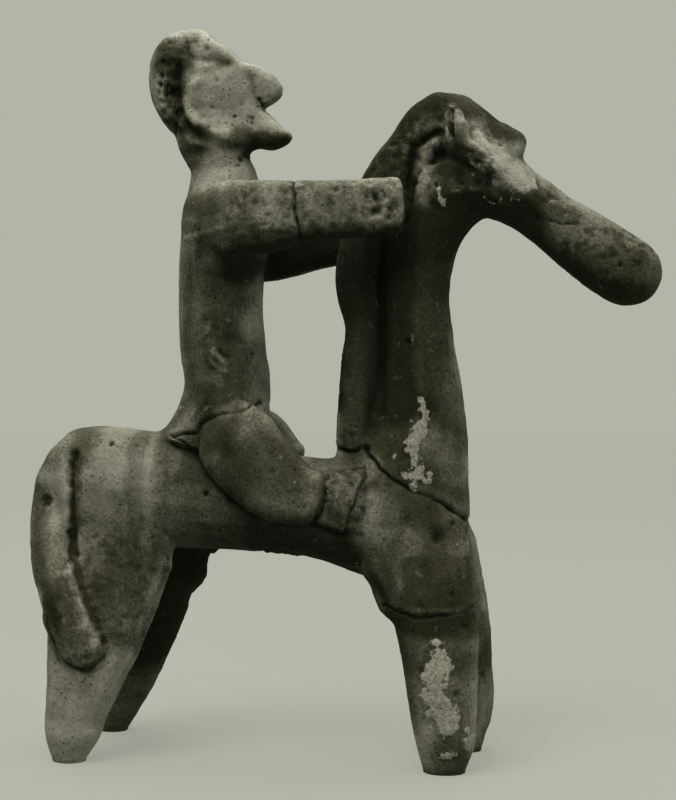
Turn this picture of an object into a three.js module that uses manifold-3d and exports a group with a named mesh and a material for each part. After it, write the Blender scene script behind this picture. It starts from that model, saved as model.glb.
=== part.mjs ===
// A hand-rolled terracotta rider on his horse, fired as one piece of clay.
// Millimetres, +Z up. The horse looks along +X and its right flank faces -Y.
// Each limb is a roll of clay: oval rings set along a smooth line, closed by round ends.
// The rolls are pressed together into one solid, which is then trodden flat under its four feet.

import * as THREE from "three";
import { mergeVertices } from "three/addons/utils/BufferGeometryUtils.js";
import Module from "manifold-3d";

// Heights above the ground.
const BACK_Z = 82.5;
const BARREL_Z = 68.5;
const ARM_Z = 150;
const FAR_ARM_DROP = 8;
const CHIN_Z = 172;
const CROWN_Z = 203;
const CREST_Z = 184;

// Places along the horse, from the rump to the muzzle.
const RUMP_X = -69;
const RIDER_X = -34.5;
const SHOULDER_X = 20;
const MUZZLE_X = 85;

// Half widths across the horse.
const BARREL_HALF = 14;
const HIND_STANCE = 20.5;
const FORE_STANCE = 16.5;
const ARM_REACH = 17;

// How the legs of the left side differ from those of the right: how far the foot stands ahead,
// the middle bows forward, the top flares forward into the belly, and the foot stands inward.
const FAR_HIND = { ahead: -0.6, bow: 2.2, flare: 4.5, inward: 0 };
const FAR_FORE = { ahead: 3, bow: -0.6, flare: 0, inward: 4.5 };
const FLARE_FROM_Z = 44;
const FLARE_TO_Z = 57;

const CLAY_COLOUR = 0x625f50;

// One ring of a roll: its middle, its half height in the plane of the horse's side (deep),
// its half width across the horse (wide), and how square it is, where 2 is an oval.
function ring(x, y, z, deep, wide, square = 2) {
  return { x, y, z, deep, wide, square };
}

// The same rings on the other side of the horse.
function mirrored(rings) {
  return rings.map((r) => ({ ...r, y: -r.y }));
}

// The same leg on the other side, with its own stance.
function farLeg(rings, { ahead, bow, flare, inward }) {
  return mirrored(rings).map((r) => {
    const height = THREE.MathUtils.clamp(r.z / BACK_Z, 0, 1);
    const stride = ahead * (1 - height) + bow * Math.sin(Math.PI * height);
    const reach = flare * THREE.MathUtils.smoothstep(r.z, FLARE_FROM_Z, FLARE_TO_Z);
    return { ...r, x: r.x + stride + reach, y: r.y - inward * (1 - height) };
  });
}

// A roll of clay through the rings. startCap and endCap are the lengths over which its ends round off.
function roll(rings, { sides = 16, steps = 10, startCap = 3, endCap = 3, capRings = 2 } = {}) {
  const spine = new THREE.CatmullRomCurve3(
    rings.map((r) => new THREE.Vector3(r.x, r.y, r.z)),
    false,
    "centripetal",
  );
  const sizes = new THREE.CatmullRomCurve3(
    rings.map((r) => new THREE.Vector3(r.deep, r.wide, r.square)),
    false,
    "catmullrom",
    0.5,
  );
  const length = spine.getLength();
  const places = [];
  for (let i = 1; i <= capRings; i++) {
    const turn = (i / capRings) * (Math.PI / 2);
    places.push({ along: startCap * (1 - Math.cos(turn)), shrink: Math.sin(turn) });
  }
  for (let i = 1; i < steps; i++) {
    places.push({ along: startCap + ((length - startCap - endCap) * i) / steps, shrink: 1 });
  }
  for (let i = capRings; i >= 1; i--) {
    const turn = (i / capRings) * (Math.PI / 2);
    places.push({ along: length - endCap * (1 - Math.cos(turn)), shrink: Math.sin(turn) });
  }

  const positions = [];
  const triangles = [];
  const start = spine.getPointAt(0);
  positions.push(start.x, start.y, start.z);
  for (const { along, shrink } of places) {
    const t = spine.getUtoTmapping(along / length);
    const middle = spine.getPoint(t);
    const ahead = spine.getTangent(t);
    const { x: deep, y: wide, z: square } = sizes.getPoint(t);
    const across = new THREE.Vector3(0, 1, 0);
    across.addScaledVector(ahead, -across.dot(ahead)).normalize();
    const up = new THREE.Vector3().crossVectors(ahead, across);
    for (let s = 0; s < sides; s++) {
      const angle = (s / sides) * Math.PI * 2;
      const flat = (v) => Math.sign(v) * Math.abs(v) ** (2 / square);
      const point = middle
        .clone()
        .addScaledVector(up, flat(Math.cos(angle)) * deep * shrink)
        .addScaledVector(across, flat(Math.sin(angle)) * wide * shrink);
      positions.push(point.x, point.y, point.z);
    }
  }
  const end = spine.getPointAt(1);
  positions.push(end.x, end.y, end.z);
  const last = positions.length / 3 - 1;
  for (let s = 0; s < sides; s++) {
    const next = (s + 1) % sides;
    triangles.push(0, 1 + s, 1 + next);
    for (let p = 0; p + 1 < places.length; p++) {
      const row = 1 + p * sides;
      triangles.push(row + s, row + sides + s, row + next);
      triangles.push(row + next, row + sides + s, row + sides + next);
    }
    const lastRow = 1 + (places.length - 1) * sides;
    triangles.push(lastRow + s, last, lastRow + next);
  }
  const geometry = new THREE.BufferGeometry();
  geometry.setAttribute("position", new THREE.Float32BufferAttribute(positions, 3));
  geometry.setIndex(triangles);
  return geometry;
}

const wasm = await Module();
wasm.setup();

// A closed three.js geometry as a solid that can be joined and cut.
function solidOf(geometry) {
  const bare = geometry.clone();
  bare.deleteAttribute("normal");
  bare.deleteAttribute("uv");
  const merged = mergeVertices(bare, 1e-4);
  const kept = [];
  const index = merged.index.array;
  for (let i = 0; i < index.length; i += 3) {
    const [a, b, c] = [index[i], index[i + 1], index[i + 2]];
    if (a !== b && b !== c && c !== a) kept.push(a, b, c);
  }
  const made = new wasm.Manifold(
    new wasm.Mesh({
      numProp: 3,
      vertProperties: new Float32Array(merged.attributes.position.array),
      triVerts: new Uint32Array(kept),
    }),
  );
  return made;
}

// The rider's head is pinched between finger and thumb: in each level slice it is broad at the
// back and draws in to a thin ridge at the front, which makes the nose above and the beard below.
function pinchedHead(levels) {
  const stations = [0, 0.035, 0.11, 0.22, 0.36, 0.5, 0.62, 0.74, 0.86, 0.95, 1];
  const cheekEnd = 0.66;
  const roundFrom = 0.7;
  const outline = [];
  for (const { z, front, back, broad, pinch } of levels) {
    const half = stations.map((u) => {
      const spread = THREE.MathUtils.smoothstep(u, 0.04, cheekEnd) ** 1.25;
      const tip = Math.sqrt(1 - (1 - Math.min(u / 0.11, 1)) ** 2);
      const rear = u > roundFrom ? Math.sqrt(1 - ((u - roundFrom) / (1 - roundFrom)) ** 2) : 1;
      return (pinch + (broad - pinch) * spread) * tip * rear;
    });
    const row = stations.map((u, i) => [front + (back - front) * u, half[i], z]);
    const other = row.slice(1, -1).reverse().map(([x, y, level]) => [x, -y, level]);
    outline.push([...row, ...other]);
  }
  const count = outline[0].length;
  const positions = outline.flat(2);
  const triangles = [];
  for (let r = 0; r + 1 < outline.length; r++) {
    for (let i = 0; i < count; i++) {
      const next = (i + 1) % count;
      const low = r * count;
      const high = low + count;
      triangles.push(low + i, low + next, high + i);
      triangles.push(low + next, high + next, high + i);
    }
  }
  for (const [row, flip] of [[0, true], [outline.length - 1, false]]) {
    const middle = positions.length / 3;
    const { z } = levels[row];
    const x = (levels[row].front + levels[row].back) / 2;
    positions.push(x, 0, z);
    for (let i = 0; i < count; i++) {
      const here = row * count + i;
      const next = row * count + ((i + 1) % count);
      triangles.push(middle, flip ? next : here, flip ? here : next);
    }
  }
  const geometry = new THREE.BufferGeometry();
  geometry.setAttribute("position", new THREE.Float32BufferAttribute(positions, 3));
  geometry.setIndex(triangles);
  return geometry;
}

function horseBody() {
  const barrel = roll(
    [
      ring(RUMP_X - 15.6, 0, 72.8, 16, 11.8, 2.4),
      ring(RUMP_X - 2, 0, 73.4, 18, 16.4, 2.3),
      ring(RUMP_X + 13, 0, 73.8, 16.4, 15.7, 2.2),
      ring(-41, 0, 72, 15.3, 14.5),
      ring(-25, 0, 70.5, 14.2, BARREL_HALF),
      ring(-6, 0, BARREL_Z, BACK_Z - BARREL_Z, BARREL_HALF),
      ring(9.6, 0, 65.6, 16, 14.5),
      ring(SHOULDER_X, 0, 63, 15.6, 13.5),
      ring(32, 0, 60, 11, 10),
    ],
    { sides: 22, steps: 14, startCap: 7.5, endCap: 5, capRings: 3 },
  );
  const tail = roll(
    [
      ring(-73.4, -6, 87.4, 4, 4),
      ring(-80.9, -8, 79.6, 5, 4.2),
      ring(-82.3, -10, 68, 5.6, 4.4),
      ring(-80.2, -15.4, 58, 6.1, 4.6),
      ring(-76.4, -20.3, 48, 6.8, 4.5),
      ring(-72.8, -23.4, 40, 7, 4.2),
      ring(-68.9, -24.8, 32.5, 6.6, 3.9),
      ring(-66.8, -25.1, 26, 5, 3.4),
    ],
    { sides: 12, steps: 11, startCap: 3, endCap: 4.5 },
  );
  return [barrel, tail];
}

function horseLegs() {
  const hind = [
    ring(-73.6, -HIND_STANCE, -2.4, 3, 3),
    ring(-73.4, -HIND_STANCE, 1.6, 5.5, 5.2),
    ring(-73.2, -HIND_STANCE, 6, 6.9, 6.4),
    ring(-70.7, -19.5, 16.7, 9.6, 7.2),
    ring(-67.1, -16.8, 34, 13.8, 8.3),
    ring(-65.4, -13.2, 46.4, 16.6, 8.8),
    ring(-65, -8.8, 57, 18.8, 8.8),
    ring(-66.2, -6.8, 71, 16, 9.2),
    ring(-67, -4.4, 83, 10, 8.4),
  ];
  const fore = [
    ring(29.8, -FORE_STANCE, -2.4, 4.2, 3.6),
    ring(29.9, -FORE_STANCE, 1.4, 6.8, 5.4),
    ring(30.3, -FORE_STANCE, 6.2, 7.8, 6.3),
    ring(29.3, -15.6, 20, 9.4, 7.1),
    ring(28.3, -14.3, 31.5, 10.6, 7.5),
    ring(26.7, -12, 42, 11.6, 8),
    ring(22, -9, 52.8, 15.4, 8.5),
    ring(19.4, -6, 64, 14.4, 8.6),
    ring(18.6, -3.8, 76, 12.4, 8),
    ring(18.4, -3, 87, 8, 6),
  ];
  const shape = { sides: 16, steps: 10, startCap: 1, endCap: 6 };
  return [
    roll(hind, shape),
    roll(farLeg(hind, FAR_HIND), shape),
    roll(fore, shape),
    roll(farLeg(fore, FAR_FORE), shape),
  ];
}

function horseNeckAndHead() {
  const neck = roll(
    [
      ring(16.6, 0, 60, 18.4, 13),
      ring(17.8, 0, 76, 17.4, 12),
      ring(19.6, 0, 90, 15.1, 10.5),
      ring(20.6, 0, 103, 12.2, 9.5),
      ring(20.3, 0, 116, 10.2, 9),
      ring(19.6, 0, 129, 9.7, 8.6),
      ring(20.9, 0, 140, 10.2, 8.4),
      ring(24.8, 0, 150, 10.8, 8.4),
      ring(31.6, 0, 156.4, 10.4, 8.4),
      ring(40, 0, 158, 9.4, 8.4),
      ring(48.2, 0, 154.5, 8.4, 8.1),
      ring(56.6, 0, 148.3, 7.9, 8),
      ring(65.2, 0, 142.2, 8.9, 8.5),
      ring(73.4, 0, 136.6, 9.4, 9),
      ring(MUZZLE_X + 0.6, 0, 128.6, 9, 8.6),
    ],
    { sides: 18, steps: 24, startCap: 4, endCap: 9, capRings: 3 },
  );
  const mane = roll(
    [
      ring(6.5, 0, 78, 9, 7),
      ring(5.8, 0, 86, 8, 6.5),
      ring(6, 0, 99, 8, 6),
      ring(7.2, 0, 112, 8, 5.6),
      ring(7.6, 0, 119, 7.6, 5.4),
      ring(5.2, 0, 131, 8, 5.3),
      ring(7, 0, 145, 8, 5.2),
      ring(12.9, 0, 156.8, 8.9, 5),
      ring(19.8, 0, 167.4, 8.4, 4.8),
      ring(27.4, 0, CREST_Z - 8.4, 8.8, 4.6),
      ring(35.2, 0, 172.4, 7.6, 4.4),
      ring(42, 0, 168.2, 6.5, 4.2),
      ring(49.6, 0, 165.4, 5.4, 4),
    ],
    { sides: 12, steps: 38, startCap: 3, endCap: 1.8 },
  );
  const hood = roll(
    [
      ring(28.4, 0, 174, 4.4, 6, 1.6),
      ring(34.2, 0, 168.8, 7.6, 9.6, 1.5),
      ring(41, 0, 162.6, 8, 10.6, 1.5),
      ring(48.4, 0, 155.7, 7.2, 10, 1.6),
      ring(57, 0, 149, 6.6, 8.7, 1.8),
      ring(66, 0, 142.8, 6, 7.2, 2),
    ],
    { sides: 12, steps: 8, startCap: 2, endCap: 3 },
  );
  const ear = [
    ring(33.2, -6, 168.6, 2.8, 3.4),
    ring(32.4, -9, 172.8, 2.4, 2.6),
    ring(30.8, -10, 179, 1.9, 2),
  ];
  const earShape = { sides: 8, steps: 4, startCap: 2, endCap: 2 };
  return [neck, mane, hood, roll(ear, earShape), roll(mirrored(ear), earShape)];
}

function riderBody() {
  const torso = roll(
    [
      ring(RIDER_X - 2.2, 0, 83, 19, 13.5),
      ring(RIDER_X - 0.8, 0, 88.8, 15.8, 14),
      ring(RIDER_X + 0.2, 0, 95.4, 13.2, 13.2),
      ring(RIDER_X + 1.3, 0, 103, 12, 12.4),
      ring(RIDER_X - 0.2, 0, 114, 11.9, 12.2),
      ring(RIDER_X - 0.9, 0, 127, 11.6, 13),
      ring(RIDER_X - 0.6, 0, 136, 11.5, 15.6, 2.2),
      ring(RIDER_X + 0.6, 0, 143, 11.4, 18.6, 2.3),
      ring(RIDER_X + 0.8, 0, 150.5, 11.4, 18.6, 2.4),
      ring(RIDER_X + 0.4, 0, 157, 10.2, 12.8, 2.2),
      ring(RIDER_X - 0.2, 0, 162, 8.8, 8.4),
      ring(RIDER_X - 1.2, 0, CHIN_Z, 9.4, 7.4),
    ],
    { sides: 20, steps: 16, startCap: 2, endCap: 3 },
  );
  const arm = [
    ring(RIDER_X - 3, -13.4, ARM_Z - 2.6, 6, 4, 2.2),
    ring(RIDER_X + 4, -15.4, ARM_Z - 2.2, 10.6, 6.4, 2.2),
    ring(RIDER_X + 13, -ARM_REACH, ARM_Z - 1.6, 10.2, 6.4, 2.3),
    ring(-10, -ARM_REACH, ARM_Z - 0.4, 8.8, 5.9, 2.4),
    ring(3, -15.6, ARM_Z + 0.4, 8, 5.6, 2.6),
    ring(18.8, -13.4, ARM_Z + 1.2, 7.7, 5.5, 3),
  ];
  const farArm = mirrored(arm).map((r) => ({
    ...r,
    z: r.z - FAR_ARM_DROP + (r.x > -20 ? 0.06 * (r.x + 20) : 0) + 2,
    deep: r.deep * 0.88,
  }));
  const armShape = { sides: 16, steps: 9, startCap: 3, endCap: 1.2 };
  const thigh = roll(
    [
      ring(-32.6, -9, 93.6, 6.6, 5, 2.3),
      ring(-28.4, -14.4, 89.4, 11.2, 5.8, 2.5),
      ring(-21.9, -16, 81.4, 10.9, 5.9, 2.6),
      ring(-13.8, -16.2, 74.9, 9.7, 5.4, 2.8),
      ring(-4, -15.8, 71.6, 6.6, 4.6, 3),
    ],
    { sides: 16, steps: 8, startCap: 3, endCap: 1.6 },
  );
  const farThigh = roll(
    [
      ring(-32, 9, 93, 7, 5, 2.3),
      ring(-29.4, 13.8, 88, 10, 5.8, 2.5),
      ring(-23.8, 15.6, 81.2, 9.6, 5.9, 2.6),
      ring(-17.6, 15.8, 77, 7.7, 5.2, 2.8),
    ],
    { sides: 16, steps: 7, startCap: 3, endCap: 1.6 },
  );
  const shinScar = [
    ring(3.2, -9.8, 79.6, 4.6, 2.2, 4),
    ring(1.6, -12.6, 74, 4.8, 2.4, 4),
    ring(-1.6, -13.4, 64, 4.8, 2.4, 4),
  ];
  const scarShape = { sides: 12, steps: 3, startCap: 0.8, endCap: 0.8 };
  return [
    torso,
    roll(arm, armShape),
    roll(farArm, armShape),
    thigh,
    farThigh,
    roll(shinScar, scarShape),
    roll(mirrored(shinScar), scarShape),
  ];
}

function riderHead() {
  const level = (z, front, back, broad, pinch) => ({ z, front, back, broad, pinch });
  return [
    pinchedHead([
      level(164, -29, -44.4, 6, 4.4),
      level(169, -27.6, -47, 7.4, 4.6),
      level(169.8, -18.4, -47.4, 8.8, 3.6),
      level(170.8, -15.6, -47.7, 9, 3.8),
      level(CHIN_Z, -14.6, -48, 9.2, 3.8),
      level(173.6, -15, -48.5, 9.3, 3.7),
      level(175.2, -17, -50.4, 9.4, 3.6),
      level(177.4, -19.6, -52.2, 9.5, 3.5),
      level(180.5, -22.8, -54, 9.6, 3.6),
      level(182, -19.4, -54.6, 9.8, 2.8),
      level(183.6, -17.6, -55.2, 9.9, 2.8),
      level(186, -17.2, -55.8, 10, 2.8),
      level(188.6, -18.7, -56.2, 10.1, 3),
      level(190.6, -20.7, -56.2, 10, 3.4),
      level(192.2, -23.6, -56, 10, 3.8),
      level(193, -27.4, -55.8, 9.9, 4.4),
      level(195, -30, -55.2, 9.7, 6),
      level(197.4, -32.4, -54, 9.2, 6.6),
      level(200, -36, -52, 7.8, 6.2),
      level(202, -38.2, -48.6, 5, 4.4),
      level(CROWN_Z, -40.6, -45.4, 2.2, 2),
    ]),
  ];
}

// The hollows pressed under the brows of the horse.
function browHollows() {
  const hollow = [
    ring(31.4, -12.6, 170, 2, 4.4),
    ring(31.2, -13, 164.4, 4.2, 6.8),
    ring(33, -13, 158.6, 4, 6.2),
    ring(37.6, -12.6, 154.6, 2.2, 4.4),
  ];
  const shape = { sides: 10, steps: 4, startCap: 1.5, endCap: 1.5 };
  return [roll(hollow, shape), roll(mirrored(hollow), shape)];
}

// The hollows behind the cheeks, beside the roll of hair, which turn forward below the jaw.
function jawHollows() {
  const groove = (side) =>
    roll(
      [
        ring(-45, side * 10.8, 195, 1.5, 1.8),
        ring(-45.3, side * 10.8, 187, 2, 2.8),
        ring(-45.4, side * 10.8, 180.5, 2.2, 3),
        ring(-43.4, side * 11, 175, 2.8, 3.4),
        ring(-38, side * 11.2, 171, 3.2, 4),
        ring(-30, side * 11, 169.2, 2.8, 4),
        ring(-24, side * 9.4, 168, 2, 3),
      ],
      { sides: 8, steps: 9, startCap: 1.5, endCap: 1.5 },
    );
  return [-1, 1].map(groove);
}

function figurine() {
  let clay = wasm.Manifold.union(
    [
      ...horseBody(),
      ...horseLegs(),
      ...horseNeckAndHead(),
      ...riderBody(),
      ...riderHead(),
    ].map(solidOf),
  );
  for (const hollow of [...browHollows(), ...jawHollows()]) clay = clay.subtract(solidOf(hollow));
  const ground = new THREE.BoxGeometry(400, 400, 40).translate(0, 0, -20);
  return clay.subtract(solidOf(ground));
}

// The solid as a three.js geometry, with the origin under the middle of its box.
function geometryOf(solid) {
  const { min, max } = solid.boundingBox();
  const mesh = solid.getMesh();
  const geometry = new THREE.BufferGeometry();
  geometry.setAttribute("position", new THREE.BufferAttribute(mesh.vertProperties, 3));
  geometry.setIndex(new THREE.BufferAttribute(mesh.triVerts, 1));
  geometry.translate(-(min[0] + max[0]) / 2, -(min[1] + max[1]) / 2, -min[2]);
  return geometry;
}

const clay = new THREE.MeshStandardMaterial({
  color: CLAY_COLOUR,
  roughness: 0.9,
  metalness: 0,
});
const rider = new THREE.Mesh(geometryOf(figurine()), clay);
rider.name = "horse_and_rider";

const group = new THREE.Group();
group.add(rider);
export default group;
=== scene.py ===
# The looks of a hand-rolled clay horse and rider, dressed over the solid of the same shape.
# Lengths are millimetres until the mesh is written back, and the scene itself is in metres.
# A place on the figure is given as (x, z) in the side view: x from tail to muzzle, z upward.
# Its y window says which side it lies on: the side that faces the camera has negative y.

import math

import bmesh
import bpy
import numpy as np
from mathutils import Matrix, Vector


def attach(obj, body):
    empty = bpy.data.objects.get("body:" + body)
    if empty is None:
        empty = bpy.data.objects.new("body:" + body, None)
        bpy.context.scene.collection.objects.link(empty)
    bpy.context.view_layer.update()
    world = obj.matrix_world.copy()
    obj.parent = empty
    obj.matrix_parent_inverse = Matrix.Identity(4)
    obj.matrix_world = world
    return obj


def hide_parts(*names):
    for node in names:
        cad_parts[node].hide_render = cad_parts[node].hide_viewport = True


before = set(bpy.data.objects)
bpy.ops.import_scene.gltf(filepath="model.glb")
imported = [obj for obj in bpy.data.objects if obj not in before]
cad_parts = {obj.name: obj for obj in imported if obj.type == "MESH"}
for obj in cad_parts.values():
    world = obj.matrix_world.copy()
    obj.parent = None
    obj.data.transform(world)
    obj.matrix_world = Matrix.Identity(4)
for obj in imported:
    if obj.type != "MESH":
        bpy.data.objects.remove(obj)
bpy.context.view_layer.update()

NODE = "horse_and_rider"
MM_PER_M = 1000
VOXEL_MM = 0.6
FACE_LIMIT = 196000
HIND_FOOT_X = -73.4


# An even mesh over the solid.
def link(obj):
    bpy.context.scene.collection.objects.link(obj)
    return obj


def apply_modifier(obj):
    """Turns the one modifier of the object into its mesh."""
    graph = bpy.context.evaluated_depsgraph_get()
    obj.data = bpy.data.meshes.new_from_object(obj.evaluated_get(graph))
    obj.modifiers.clear()


def fine_copy(node):
    """A closed copy of the solid with small faces of one size."""
    mesh = node.data.copy()
    obj = link(bpy.data.objects.new("clay_figurine", mesh))
    bm = bmesh.new()
    bm.from_mesh(mesh)
    bmesh.ops.remove_doubles(bm, verts=bm.verts, dist=1e-6)
    bm.to_mesh(mesh)
    bm.free()
    even = obj.modifiers.new("even", "REMESH")
    even.mode = "VOXEL"
    even.voxel_size = VOXEL_MM / MM_PER_M
    apply_modifier(obj)
    return obj


def foot_shift(node):
    """How far the right hind foot of the solid stands from where the places below put it."""
    ground = 1e-4
    sole = [v.co for v in node.data.vertices if v.co.z < ground and v.co.x < 0 and v.co.y < 0]
    xs = [c.x * MM_PER_M for c in sole]
    return (min(xs) + max(xs)) / 2 - HIND_FOOT_X


class Surface:
    """The fine mesh as arrays, with the moves that shape it."""

    def __init__(self, mesh, shift):
        count = len(mesh.vertices)
        flat = np.empty(count * 3, np.float32)
        mesh.vertices.foreach_get("co", flat)
        self.shift = np.array([shift, 0.0, 0.0])
        self.points = flat.reshape(count, 3).astype(float) * MM_PER_M - self.shift
        corners = np.empty(len(mesh.loops), np.int32)
        mesh.loops.foreach_get("vertex_index", corners)
        self.quads = corners.reshape(-1, 4)
        ends = np.empty(len(mesh.edges) * 2, np.int32)
        mesh.edges.foreach_get("vertices", ends)
        self.one, self.other = ends.reshape(-1, 2).T
        self.count = count
        self.valence = sum(np.bincount(side, minlength=count) for side in (self.one, self.other))

    def around(self, values):
        """The mean of each point's neighbours."""
        columns = values.reshape(self.count, -1)
        total = [
            np.bincount(self.one, columns[self.other, c], self.count)
            + np.bincount(self.other, columns[self.one, c], self.count)
            for c in range(columns.shape[1])
        ]
        return (np.stack(total, 1) / self.valence[:, None]).reshape(values.shape)

    def normals(self):
        p = self.points[self.quads]
        face = np.cross(p[:, 2] - p[:, 0], p[:, 3] - p[:, 1])
        total = [
            sum(np.bincount(self.quads[:, k], face[:, c], self.count) for k in range(4))
            for c in range(3)
        ]
        out = np.stack(total, 1)
        return out / np.maximum(np.linalg.norm(out, axis=1, keepdims=True), 1e-9)

    def bend(self):
        """How far each point lies below its neighbours, along the normal."""
        return ((self.around(self.points) - self.points) * self.normals()).sum(1)

    def smooth(self, rounds):
        """Evens out facets. Each step that shrinks is undone by one that swells."""
        shrink, swell = 0.6, -0.62
        for _ in range(rounds):
            for step in (shrink, swell):
                self.points += step * (self.around(self.points) - self.points)

    def fill_creases(self, rounds, strength):
        """Draws clay outward into the inner corners, as a wet finger does."""
        step, rounds_per_normal = 0.9, 8
        for turn in range(rounds):
            if turn % rounds_per_normal == 0:
                normal = self.normals()
            pull = self.around(self.points) - self.points
            out = np.maximum((pull * normal).sum(1), 0) * strength
            self.points += step * out[:, None] * normal

    def blur(self, values, rounds):
        for _ in range(rounds):
            values = 0.5 * values + 0.5 * self.around(values)
        return values

    def round_off(self, amount, rounds):
        """Rounds broad facets where the amount is one, and keeps the girth."""
        soft = self.blur(self.points, rounds)
        soft += self.blur(self.points - soft, rounds)
        self.points += amount[:, None] * (soft - self.points)

    def write(self, mesh):
        flat = (self.points + self.shift) / MM_PER_M
        mesh.vertices.foreach_set("co", flat.astype(np.float32).ravel())
        mesh.update()


# Noise and soft steps.
TILT = np.array(Matrix.Rotation(0.7, 3, Vector((1, 2, 3)).normalized()))
SEED_STRIDE = 7.77
FINER_FALL = 1.8
WORD = 0xFFFFFFFF
CELL_KEYS = (73856093, 19349663, 83492791)
SEED_KEY = 2654435
MIX_KEYS = ((15, 2246822519), (13, 3266489917))


def scatter(x, y, z, seed):
    """A value from -1 to 1 for each cell of a grid, without any order."""
    h = (x * CELL_KEYS[0] ^ y * CELL_KEYS[1] ^ z * CELL_KEYS[2] ^ seed * SEED_KEY) & WORD
    for places, key in MIX_KEYS:
        h = ((h ^ (h >> places)) * key) & WORD
    return ((h ^ (h >> 16)) & WORD) / 2.0**31 - 1


def noise(points, size, seed):
    """Smooth noise from -1 to 1 whose bumps are about the given size."""
    turned = points @ TILT.T / size + seed * SEED_STRIDE
    cell = np.floor(turned).astype(np.int64)
    f = turned - cell
    f = f * f * f * (f * (f * 6 - 15) + 10)
    total = np.zeros(len(points))
    for dx in (0, 1):
        for dy in (0, 1):
            for dz in (0, 1):
                value = scatter(cell[:, 0] + dx, cell[:, 1] + dy, cell[:, 2] + dz, seed)
                weight = (
                    (f[:, 0] if dx else 1 - f[:, 0])
                    * (f[:, 1] if dy else 1 - f[:, 1])
                    * (f[:, 2] if dz else 1 - f[:, 2])
                )
                total += value * weight
    return total


def rough(points, size, seed, octaves=3):
    """Noise with finer noise on it."""
    total = sum(noise(points, size / 2**k, seed + k) / FINER_FALL**k for k in range(octaves))
    return total / sum(1 / FINER_FALL**k for k in range(octaves))


def ramp(values, low, high):
    t = np.clip((values - low) / (high - low), 0, 1)
    return t * t * (3 - 2 * t)


def bell(distance, width):
    """One at no distance, falling softly to nothing."""
    return np.exp(-((distance / width) ** 2))


# Places on the figure.
def in_box(points, low_corner, high_corner, low, high):
    """The points inside a box of the side view and a range of y."""
    x, y, z = points.T
    (x0, z0), (x1, z1) = low_corner, high_corner
    return np.flatnonzero((x > x0) & (x < x1) & (z > z0) & (z < z1) & (y > low) & (y < high))


def along(points, line, low, high, reach):
    """The points near a line of the side view, in a range of y: which, how far, on which side."""
    line = np.array(line, float)
    near = in_box(points, line.min(0) - reach, line.max(0) + reach, low - 1, high + 1)
    p = points[near][:, [0, 2]]
    best = np.full(len(p), 1e9)
    side = np.zeros(len(p))
    for a, b in zip(line[:-1], line[1:]):
        d = b - a
        t = np.clip(((p - a) @ d) / (d @ d), 0, 1)
        off = p - a - t[:, None] * d
        dist = np.hypot(off[:, 0], off[:, 1])
        nearer = dist < best
        best[nearer] = dist[nearer]
        side[nearer] = np.sign(d[0] * (p[nearer, 1] - a[1]) - d[1] * (p[nearer, 0] - a[0]))
    return near, best, side


def chain(points, blots, low, high):
    """The points near a chain of blots, within a range of y: which, and how far inside its edge."""
    blots = np.array(blots, float)
    spots, radii, room = blots[:, :2], blots[:, 2:], 3
    near = in_box(points, (spots - radii).min(0) - room, (spots + radii).max(0) + room, low, high)
    p = points[near][:, [0, 2]]
    inside = np.full(len(p), -1e9)
    for a, b in zip(blots[:-1], blots[1:]):
        d = b[:2] - a[:2]
        t = np.clip(((p - a[:2]) @ d) / (d @ d), 0, 1)
        off = p - a[:2] - t[:, None] * d
        inside = np.maximum(inside, a[2] + t * (b[2] - a[2]) - np.hypot(off[:, 0], off[:, 1]))
    return near, inside


def window(points, low, high, soft=1.0):
    """One inside the range of y, falling softly to nothing outside it."""
    y = points[:, 1]
    return ramp(y, low - soft, low) * (1 - ramp(y, high, high + soft))


def patch(points, box, wave, soft=1.5):
    """A blot over a box of (x0, x1, z0, z1), whose edge wanders in and out with the wave."""
    x0, x1, z0, z1 = box
    x, z = points[:, 0], points[:, 2]
    inside = np.minimum.reduce([x - x0, x1 - x, z - z0, z1 - z])
    return ramp(inside + wave, -soft, soft)


def inside_boxes(points, boxes, soft):
    """One inside any of the boxes and their ranges of y."""
    inside = np.zeros(len(points))
    for box, (low, high) in boxes:
        inside = np.maximum(inside, patch(points, box, 0, soft) * window(points, low, high))
    return inside


def each_side(table):
    """The rows of a table, and a mirrored one for each mark that the far side has too."""
    for place, (low, high), size, strength, far_too in table:
        yield place, low, high, size, strength
        if far_too:
            yield place, -high, -low, size, strength


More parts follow.
